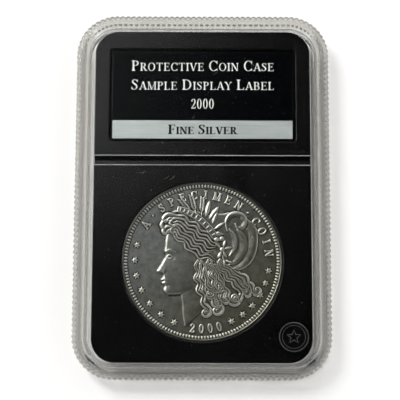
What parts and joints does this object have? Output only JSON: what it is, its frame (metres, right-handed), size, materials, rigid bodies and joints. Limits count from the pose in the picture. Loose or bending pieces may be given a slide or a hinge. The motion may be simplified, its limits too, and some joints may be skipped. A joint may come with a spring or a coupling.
{
  "type": "graded coin slab",
  "caption": "Flat sealed clear case with rounded corners, reeded edge and raised stacking rim, over a black tray with a label card and a large coin.",
  "frame": {"origin": "centre of the back, on the surface that the slab lies on", "axes": "+X across the slab to its right seen from the front, +Y along it to the label end, +Z out of its face"},
  "size_m": [0.061, 0.0882, 0.0074],
  "materials": {
    "clear_shell": "water-clear polystyrene, polished windows, moulded reeded edge",
    "black_tray": "satin black moulded plastic with fine grain",
    "gasket_rubber": "soft black ring, matt",
    "coin_silver": "struck silver alloy, lustrous, lightly toned",
    "label_card": "smooth black printed card",
    "silver_foil": "satin grey-silver foil",
    "seal_film": "black film with thin grey lines"
  },
  "bodies": {
    "root": {"back_shell": "clear_shell", "front_shell": "clear_shell", "insert_tray": "black_tray", "coin_gasket": "gasket_rubber", "coin": "coin_silver", "label_card": "label_card", "foil_strip": "silver_foil", "security_seal": "seal_film"}
  },
  "joints": []
}
